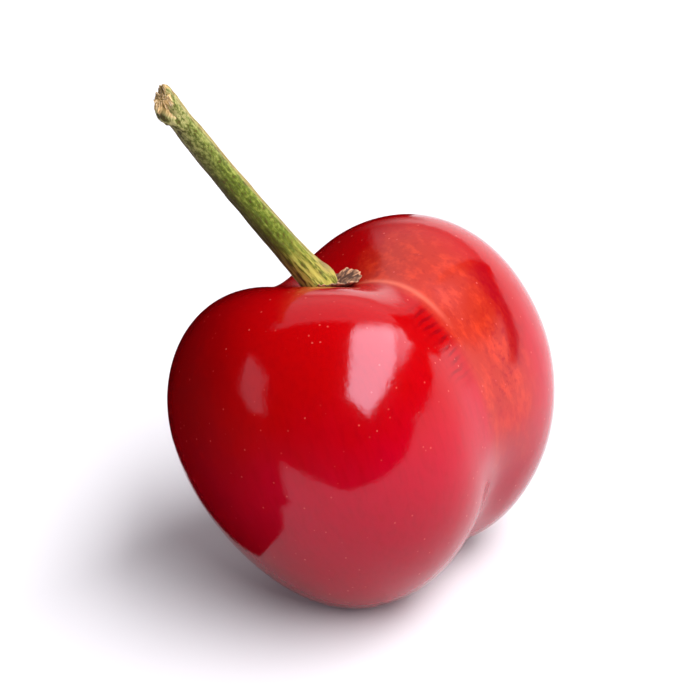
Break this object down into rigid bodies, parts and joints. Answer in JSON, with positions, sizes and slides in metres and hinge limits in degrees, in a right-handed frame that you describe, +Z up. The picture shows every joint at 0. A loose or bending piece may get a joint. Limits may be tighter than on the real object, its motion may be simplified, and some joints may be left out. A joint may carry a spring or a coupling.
{
  "type": "cherry on stalk",
  "caption": "Ripe sweet cherry of lobes grown together along a deep suture, resting on its underside, with its cut green stalk standing in the hollow at its top.",
  "frame": {"origin": "centre of the flat spot on the underside that the fruit rests on", "axes": "+Z up; +X to the right and +Y away from the side that shows the open suture on its right and the stalk leaning to the left"},
  "size_m": [0.0296, 0.0298, 0.04],
  "materials": {
    "skin": "thin waxy cherry skin, bright red to orange-red, glossy",
    "stalk": "fresh green stalk, matt, finely ribbed, brown foot and cream cut end"
  },
  "bodies": {
    "root": {"fruit": "skin", "stalk": "stalk"}
  },
  "joints": []
}
